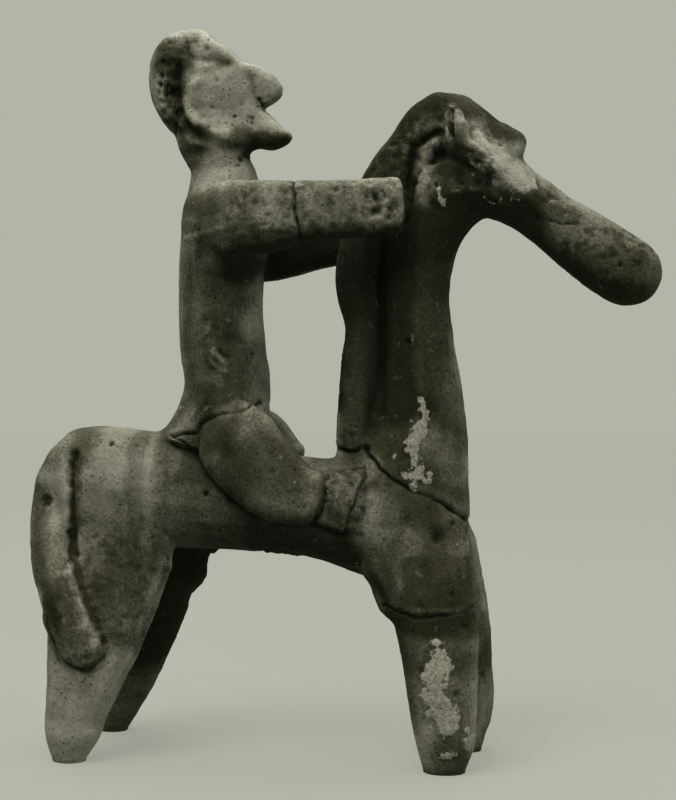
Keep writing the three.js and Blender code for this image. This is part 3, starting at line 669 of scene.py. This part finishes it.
class Skin:
    """The rise of the skin over the form, and the masks that the material reads."""

    def __init__(self, surface):
        p = surface.points.copy()
        self.points, self.normal = p, surface.normals()
        broad, small = rough(p, size=17, seed=3), rough(p, size=2.4, seed=15)
        self.middling = rough(p, size=6, seed=9)
        self.crumbs = rough(p, size=1.7, seed=101, octaves=2)
        self.torn = rough(p, size=1.9, seed=52)
        self.strand, self.swell = noise(p, size=4, seed=31), noise(p, size=2.5, seed=33)
        sway = [noise(p, 3.2, seed) + 0.4 * noise(p, 1.3, seed + 2) for seed in (21, 22)]
        self.wobble = np.stack([sway[0], np.zeros(len(p)), sway[1]], 1)
        self.rise = 0.42 * broad + 0.2 * self.middling + 0.07 * small
        smoke, smudge = rough(p, size=20, seed=91), rough(p, size=5, seed=95)
        # fire clouding; painted shade and painted light are added to it further on
        self.soot_and_shade = 0.17 + 0.24 * smoke + 0.12 * smudge
        self.crack, self.crust, self.bloom = np.zeros((3, len(p)))

    def astray(self, kind):
        return self.points + STRAY[kind] * self.wobble

    def cut_cracks(self):
        strayed = self.astray("crack")
        for line, low, high, half, depth in each_side(CRACKS):
            near, dist, side = along(strayed, line, low, high, CRACK_REACH)
            here = window(self.points[near], low, high)
            here = here * np.clip(0.8 + 0.4 * self.strand[near], 0.3, 1.1)
            width = 0.8 * half * (1 + 0.5 * self.swell[near])
            self.rise[near] -= depth * bell(dist, width) * here
            self.rise[near] += LIP_HEIGHT * bell(dist - LIP_PLACE, LIP_WIDTH) * here * (side > 0)
            self.crack[near] = np.maximum(self.crack[near], bell(dist, width * 0.9) * here)

    def soft_lines(self, table, kind):
        """For each line of a table: the points near it, and how strongly it marks them."""
        strayed = self.astray(kind)
        for line, low, high, half, strength in each_side(table):
            near, dist, _ = along(strayed, line, low, high, 3 * half)
            yield near, strength * bell(dist, half) * window(self.points[near], low, high)

    def press_strokes(self):
        for near, push in self.soft_lines(STROKES, "stroke"):
            self.rise[near] += push
        for (x, z), (low, high), radius, depth in DENTS:
            p = self.points
            away = np.hypot(p[:, 0] - x, p[:, 2] - z) / (radius * (1 + 0.35 * self.swell))
            self.rise -= depth * np.clip(1 - away**2, 0, 1) * window(p, low, high)

    def streak_and_crumble(self):
        # streaks of the clay's own tone, and streaks of painted shade and painted light
        for near, stain_and_shade in self.soft_lines(STREAKS, "streak"):
            self.soot_and_shade[near] += stain_and_shade
        for box, low, high, height, dark in each_side(CRUMBS):
            here = patch(self.points, box, 1.5 * self.middling) * window(self.points, low, high)
            self.rise += height * (self.crumbs - 0.2) * here
            # the box's own darkness, and painted shade in the low places between the crumbs
            self.soot_and_shade += here * (dark + 0.5 * np.clip(-self.crumbs, 0, 1))

    def lay_crust(self):
        strayed = self.astray("crust")
        for blots, (low, high) in CRUSTS:
            near, inside = chain(strayed, blots, low, high)
            size = max(blot[2] for blot in blots)
            torn = min(size, MOST_TORN) * self.torn[near]
            edge = 0.5 + (inside + 0.1 * size + torn) / CRUST_EDGE_WIDTH
            self.crust[near] = np.maximum(self.crust[near], np.clip(edge, 0, 1))
        specks = 0.55 * ramp(rough(self.points, size=3.2, seed=71), 0.66, 0.72)
        self.crust = np.maximum(self.crust, specks)
        self.rise += CRUST_THICKNESS * ramp(self.crust, 0.35, 0.65) * (1 + 0.3 * self.crumbs)

    def lay_bloom(self):
        strayed = self.astray("bloom")
        for line, low, high, half, strength in each_side(BLOOMS):
            near, dist, _ = along(strayed, line, low, high, 3 * half)
            spot = ramp(1.3 - dist / half + 0.9 * self.torn[near], 0.1, 0.9)
            spot *= window(self.points[near], low, high)
            self.bloom[near] = np.maximum(self.bloom[near], strength * spot)

    def darken_zones(self):
        drift = 1.6 * rough(self.points, size=8, seed=120)
        for box, (low, high), strength, soft in SOOT_AND_SHADE_ZONES:
            zone = strength * patch(self.points, box, drift, soft)
            self.soot_and_shade += zone * window(self.points, low, high, soft=2)
        # painted shade on the surfaces that face down
        self.soot_and_shade += UNDERSIDE_SHADE * ramp(-self.normal[:, 2], 0.1, 0.8)

    def sink_pits(self):
        """Small pits where grit and chaff burnt out."""
        rng = np.random.default_rng(PIT_SEED)
        p = self.points
        order = np.argsort(p[:, 0])
        lined = p[order]
        depth = np.zeros(len(p))
        chosen = rng.integers(0, len(p), PIT_COUNT)
        radii = np.clip(rng.lognormal(-0.75, 0.32, PIT_COUNT), *PIT_RADII)
        worn = noise(p[chosen], size=14, seed=61)
        for i, radius, where in zip(chosen, radii, worn):
            if where < -0.1 and radius < LONE_PIT_RADIUS:
                continue
            reach = radius * 1.2
            first, last = np.searchsorted(lined[:, 0], (p[i, 0] - reach, p[i, 0] + reach))
            away = np.linalg.norm(lined[first:last] - p[i], axis=1) / reach
            spots = order[first:last]
            depth[spots] = np.maximum(depth[spots], PIT_DEPTH * radius * np.clip(1 - away**2, 0, 1))
        self.rise -= depth


def flatten_soles(surface, normal):
    """Presses the soles flat on the ground."""
    facing_down, sole_height = -0.55, 0.9
    sole = (normal[:, 2] < facing_down) & (surface.points[:, 2] < sole_height)
    surface.points[sole, 2] = 0
    surface.points[:, 2] = np.maximum(surface.points[:, 2], 0)


def hollows(surface, crack):
    """Where the skin is hollow (positive) or stands out (negative), apart from the cracks."""
    pull = surface.bend()
    narrow, wide = surface.blur(pull, rounds=2), surface.blur(pull, rounds=14)
    hollow = narrow * 7 + wide * 26
    beside_crack = np.clip(2 * surface.blur(crack, rounds=8), 0, 1)
    return np.clip(np.where(hollow > 0, hollow * (1 - beside_crack), hollow), -1, 1)


def dress(surface):
    """Marks the skin and returns the masks that the material reads."""
    form(surface)
    skin = Skin(surface)
    skin.cut_cracks()
    skin.press_strokes()
    skin.streak_and_crumble()
    skin.lay_crust()
    skin.lay_bloom()
    skin.darken_zones()
    skin.sink_pits()
    surface.points = skin.points + skin.rise[:, None] * skin.normal
    flatten_soles(surface, skin.normal)
    return {
        "soot_and_shade": skin.soot_and_shade,
        "crust": skin.crust,
        "bloom": skin.bloom,
        "crack": skin.crack,
        "hollow": hollows(surface, skin.crack),
    }


def thin_out(obj, limit):
    faces = sum(len(f.vertices) - 2 for f in obj.data.polygons)
    if faces > limit:
        obj.modifiers.new("fewer", "DECIMATE").ratio = limit / faces
        apply_modifier(obj)


def drop_specks(mesh):
    """Leaves only the main shell, without the specks of mesh that hang on nothing."""
    bm = bmesh.new()
    bm.from_mesh(mesh)
    shells, seen = [], set()
    for start in bm.verts:
        if start in seen:
            continue
        seen.add(start)
        shell = [start]
        for vert in shell:
            for edge in vert.link_edges:
                other = edge.other_vert(vert)
                if other not in seen:
                    seen.add(other)
                    shell.append(other)
        shells.append(shell)
    shells.sort(key=len)
    loose = [vert for shell in shells[:-1] for vert in shell]
    bmesh.ops.delete(bm, geom=loose, context="VERTS")
    bm.to_mesh(mesh)
    bm.free()


# The material.
class Nodes:
    """Short ways to place and join shader nodes."""

    def __init__(self, owner):
        owner.use_nodes = True
        self.tree = owner.node_tree
        self.tree.nodes.clear()

    def add(self, kind, settings=None, **inputs):
        node = self.tree.nodes.new(kind)
        for key, value in (settings or {}).items():
            setattr(node, key, value)
        for key, value in inputs.items():
            self.feed(node, key.replace("_", " "), value)
        return node

    def feed(self, node, socket, value):
        target = node.inputs[socket]
        if isinstance(value, bpy.types.NodeSocket):
            self.tree.links.new(value, target)
        else:
            target.default_value = value

    def feed_all(self, node, values, first=0):
        """Feeds the node's sockets in their order, and returns its first output."""
        for i, value in enumerate(values, first):
            self.feed(node, i, value)
        return node.outputs[0]

    def sums(self, operation, a, b=0.0, c=0.0):
        return self.feed_all(self.add("ShaderNodeMath", {"operation": operation}), (a, b, c))

    def mask(self, value, source, target=(0.0, 1.0)):
        """The value, taken from one range to another."""
        node = self.add("ShaderNodeMapRange", {"clamp": True})
        return self.feed_all(node, (value, *source, *target))

    def blend(self, amount, a, b, kind="MIX"):
        node = self.add("ShaderNodeMix", {"data_type": "RGBA", "blend_type": kind})
        factor, first_colour, second_colour, colour_out = 0, 6, 7, 2
        for socket, value in ((factor, amount), (first_colour, a), (second_colour, b)):
            self.feed(node, socket, value)
        return node.outputs[colour_out]

    def gradient(self, value, stops):
        """A colour that changes with the value, through stops of (place, colour)."""
        node = self.add("ShaderNodeValToRGB", Fac=value)
        elements = node.color_ramp.elements
        lowest, *between, highest = stops
        for element, stop in zip(elements, (lowest, highest)):
            element.position, element.color = stop
        for place, tone in between:
            elements.new(place).color = tone
        return node.outputs["Color"]

    def tinted(self, base, amount):
        """The colour made darker or lighter by the amount."""
        node = self.add("ShaderNodeVectorMath", {"operation": "SCALE"}, Scale=amount)
        return self.feed_all(node, (base,))

    def cloud(self, place, scale, detail=4.0, roughness=0.6, distortion=0.0):
        node = self.add("ShaderNodeTexNoise", Scale=scale, Detail=detail, Roughness=roughness,
                        Distortion=distortion, Vector=place)
        return node.outputs["Fac"]

    def cells(self, place, scale):
        return self.add("ShaderNodeTexVoronoi", Scale=scale, Vector=place).outputs["Distance"]

    def stored(self, name):
        """A mask that is stored with the points of the mesh."""
        return self.add("ShaderNodeAttribute", {"attribute_name": name}).outputs["Fac"]

    def place(self):
        return self.add("ShaderNodeTexCoord").outputs["Object"]


def colour(level, warmth=1.0):
    """An olive grey of the given brightness."""
    return (level * 1.02, level, level * (1 - 0.2 * warmth), 1)


# From pale clay to soot and painted shade: place on the scale, brightness and warmth.
TONES = ((0.0, 0.24, 0.85), (0.3, 0.142, 1.1), (0.6, 0.068, 1.75), (1.0, 0.0235, 3.1))
# pores and cracks painted near black, standing for the shade inside them
PORE_SHADE_TONE, CRACK_SHADE_TONE = colour(0.014, 2.5), colour(0.008, 2.5)
FLECK_TONE, BLOOM_TONE = colour(0.26), colour(0.29, 0.8)
CRUST_TONES = colour(0.2), colour(0.36, 0.8)
# the painted shade laid into hollows
HOLLOW_SHADE_TINT = (0.26, 0.25, 0.13, 1)


def clay_material():
    material = bpy.data.materials.new("olive_grey_terracotta")
    n = Nodes(material)
    place = n.place()
    wide = n.cloud(place, scale=70, detail=5, distortion=0.3)
    grain = n.cloud(place, scale=1250, detail=5, roughness=0.65)
    fine = n.cloud(place, scale=2600, detail=3)
    streak = n.cloud(place, scale=260, roughness=0.62, distortion=0.6)
    # clay, soot and painted shade
    soot_and_shade = n.sums("ADD", n.stored("soot_and_shade"), n.sums("MULTIPLY_ADD", wide, 0.5, -0.25))
    uneven = n.mask(soot_and_shade, (0.0, 0.5), (0.16, 0.36))
    soot_and_shade = n.sums("MULTIPLY_ADD", n.sums("SUBTRACT", streak, 0.5), uneven, soot_and_shade)
    stops = [(spot, colour(level, warmth)) for spot, level, warmth in TONES]
    base = n.gradient(n.mask(soot_and_shade, (-0.1, 1.3)), stops)
    grit = n.mask(grain, (0.36, 0.66))
    contrast = n.mask(soot_and_shade, (0.0, 0.4), (0.34, 0.72))
    base = n.tinted(base, n.sums("MULTIPLY_ADD", n.sums("SUBTRACT", grit, 0.5), contrast, 1.0))
    # pores painted dark as the shade in them, pale flecks, painted shade in the hollows and a
    # painted highlight on what stands out
    pores = n.mask(n.cells(place, scale=720), (0.27, 0.14))
    pores = n.sums("MULTIPLY", pores, n.mask(streak, (0.45, 0.6)))
    # pores painted near black as the shade inside them
    base = n.blend(n.sums("MULTIPLY", pores, 0.7), base, PORE_SHADE_TONE)
    flecks = n.mask(n.cells(place, scale=430), (0.11, 0.06))
    base = n.blend(n.sums("MULTIPLY", flecks, 0.3), base, FLECK_TONE)
    hollow = n.stored("hollow")
    # painted shade in the hollows, and a painted highlight where the skin stands out
    base = n.blend(n.mask(hollow, (0.03, 0.8)), base, HOLLOW_SHADE_TINT, "MULTIPLY")
    base = n.tinted(base, n.mask(hollow, (-0.05, -0.7), (1.0, 1.35)))
    # bloom, which hollows keep off
    dusty = n.sums("ADD", n.stored("bloom"), n.sums("MULTIPLY_ADD", streak, 2.6, -1.36))
    dusty = n.sums("MULTIPLY", n.mask(dusty, (0.25, 0.95)), n.mask(grain, (0.38, 0.58), (0.3, 1.0)))
    open_skin = n.mask(hollow, (0.35, 0.05), (0.2, 1.0))
    base = n.blend(n.sums("MULTIPLY", dusty, open_skin), base, BLOOM_TONE)
    # crust with a torn edge
    crust = n.stored("crust")
    flakes = n.cloud(place, scale=620, detail=6, roughness=0.72)
    raggedness = n.mask(crust, (0.0, 0.2), (0.0, 3.2))
    full = n.sums("MINIMUM", crust, 0.85)
    ragged = n.sums("MULTIPLY_ADD", n.sums("SUBTRACT", flakes, 0.5), raggedness, full)
    base = n.blend(n.mask(ragged, (0.46, 0.56)), base, n.blend(grit, *CRUST_TONES))
    # cracks painted near black as the shade inside them
    base = n.blend(n.mask(n.stored("crack"), (0.3, 0.8), (0.0, 0.92)), base, CRACK_SHADE_TONE)
    # the feel of the surface
    height = n.sums("ADD", n.sums("MULTIPLY", grain, 0.65), n.sums("MULTIPLY", fine, 0.35))
    height = n.sums("SUBTRACT", height, n.sums("MULTIPLY", pores, 0.5))
    bump = n.add("ShaderNodeBump", Strength=0.6, Distance=0.0005, Height=height)
    shader = n.add("ShaderNodeBsdfPrincipled", Base_Color=base, Specular_IOR_Level=0.3,
                   Roughness=n.mask(grain, (0.2, 0.8), (0.72, 0.92)), Normal=bump.outputs[0])
    n.add("ShaderNodeOutputMaterial", Surface=shader.outputs[0])
    return material


# The piece.
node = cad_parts[NODE]
shift_x = foot_shift(node)
figurine = fine_copy(node)
surface = Surface(figurine.data, shift_x)
masks = dress(surface)
surface.write(figurine.data)
for name, values in masks.items():
    layer = figurine.data.attributes.new(name, "FLOAT", "POINT")
    layer.data.foreach_set("value", values.astype(np.float32))
thin_out(figurine, FACE_LIMIT)
drop_specks(figurine.data)
figurine.data.materials.clear()
figurine.data.materials.append(clay_material())
figurine.data.polygons.foreach_set("use_smooth", [True] * len(figurine.data.polygons))
figurine.data.update()
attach(figurine, "root")
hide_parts(NODE)


# Floor, light and camera. From here on lengths are metres.
BACK_TONE = (0.567, 0.582, 0.518, 1)
FLOOR_RADIUS, FLOOR_RINGS, FLOOR_SIDES = 4.0, 24, 96
FLOOR_FADE = (0.5, 3.2)
FLOOR_TONES = (0.078, 0.08, 0.071, 1), (0.084, 0.086, 0.077, 1)
FLOOR_GLOW = 0.72
FRONT_SHADE, LEFT_SHADE = 0.15, 0.6
# The dome's tones, from below the horizon to overhead.
DOME = ((0.42, 0.34), (0.66, 0.6), (0.8, 3.0))
OVERHEAD = (0.95, (3.6, 3.6, 3.4, 1))
AIM = (0, 0, 0.1)
AZIMUTH, ELEVATION, DISTANCE = math.radians(10), math.radians(0.8), 0.460
FOCUS_PIXELS, LONG_SIDE_PIXELS, SENSOR_MM = 1679, 800, 36
GAMMA = 0.7


def disc(name):
    """A flat round mesh on the ground, finer near the middle."""
    verts = [(0, 0, 0)]
    turns = [2 * math.pi * s / FLOOR_SIDES for s in range(FLOOR_SIDES)]
    for ring in range(1, FLOOR_RINGS + 1):
        reach = FLOOR_RADIUS * (ring / FLOOR_RINGS) ** 2
        verts += [(reach * math.cos(turn), reach * math.sin(turn), 0) for turn in turns]
    pairs = [(s, (s + 1) % FLOOR_SIDES) for s in range(FLOOR_SIDES)]
    faces = [(0, 1 + s, 1 + t) for s, t in pairs]
    for ring in range(FLOOR_RINGS - 1):
        inner = 1 + ring * FLOOR_SIDES
        outer = inner + FLOOR_SIDES
        faces += [(inner + s, outer + s, outer + t, inner + t) for s, t in pairs]
    mesh = bpy.data.meshes.new(name)
    mesh.from_pydata(verts, [], faces)
    return mesh


def pale_floor():
    floor = link(bpy.data.objects.new("floor", disc("floor")))
    material = bpy.data.materials.new("pale_floor")
    n = Nodes(material)
    place = n.place()
    length = n.add("ShaderNodeVectorMath", {"operation": "LENGTH"})
    n.feed_all(length, (place,))
    fade = n.mask(length.outputs["Value"], FLOOR_FADE)
    paper = n.cloud(place, scale=30, detail=3)
    card = n.add("ShaderNodeBsdfPrincipled", Base_Color=n.blend(paper, *FLOOR_TONES), Roughness=0.9,
                 Specular_IOR_Level=0.1, Emission_Color=BACK_TONE, Emission_Strength=FLOOR_GLOW)
    clear = n.add("ShaderNodeBsdfTransparent")
    mix = n.feed_all(n.add("ShaderNodeMixShader"), (fade, card.outputs[0], clear.outputs[0]))
    n.add("ShaderNodeOutputMaterial", Surface=mix)
    floor.data.materials.append(material)


def studio_dome():
    """Soft light from all round, stronger overhead, weaker from in front and from the left."""
    world = bpy.data.worlds.new("studio")
    bpy.context.scene.world = world
    n = Nodes(world)
    parts = n.add("ShaderNodeSeparateXYZ")
    n.feed_all(parts, (n.add("ShaderNodeTexCoord").outputs["Generated"],))
    between = [(spot, (tone, tone, tone * 0.94, 1)) for spot, tone in DOME]
    tone = n.gradient(parts.outputs["Z"], ((0.30, BACK_TONE), *between, OVERHEAD))
    front = n.mask(parts.outputs["Y"], (-0.9, 0.35), (FRONT_SHADE, 1.0))
    left = n.mask(parts.outputs["X"], (-0.95, -0.42), (LEFT_SHADE, 1.0))
    back = n.add("ShaderNodeBackground", Color=tone, Strength=n.sums("MULTIPLY", front, left))
    n.add("ShaderNodeOutputWorld", Surface=back.outputs[0])


def turned_to(obj, direction):
    obj.rotation_euler = direction.to_track_quat("-Z", "Y").to_euler()


def soft_box(name, place, size, power):
    lamp = bpy.data.lights.new(name, "AREA")
    lamp.shape = "SQUARE"
    lamp.size = size
    lamp.energy = power
    obj = link(bpy.data.objects.new(name, lamp))
    obj.location = place
    turned_to(obj, Vector(AIM) - Vector(place))


def photo_camera():
    target = Vector(((shift_x - 0.5) / MM_PER_M, -0.007, 0.099))
    back = Vector((
        math.sin(AZIMUTH) * math.cos(ELEVATION),
        -math.cos(AZIMUTH) * math.cos(ELEVATION),
        math.sin(ELEVATION),
    ))
    data = bpy.data.cameras.new("camera")
    data.sensor_fit = "AUTO"
    data.sensor_width = SENSOR_MM
    data.lens = FOCUS_PIXELS * SENSOR_MM / LONG_SIDE_PIXELS
    data.clip_start = 0.01
    camera = link(bpy.data.objects.new("camera", data))
    camera.location = target + DISTANCE * back
    turned_to(camera, -back)
    bpy.context.scene.camera = camera


pale_floor()
studio_dome()
soft_box("overhead", place=(-0.3, -0.6, 1.1), size=0.8, power=17.0)
soft_box("right_fill", place=(1.0, -0.45, 0.4), size=0.6, power=3.5)
photo_camera()
settings = bpy.context.scene.view_settings
settings.view_transform = "Standard"
settings.look = "None"
settings.gamma = GAMMA
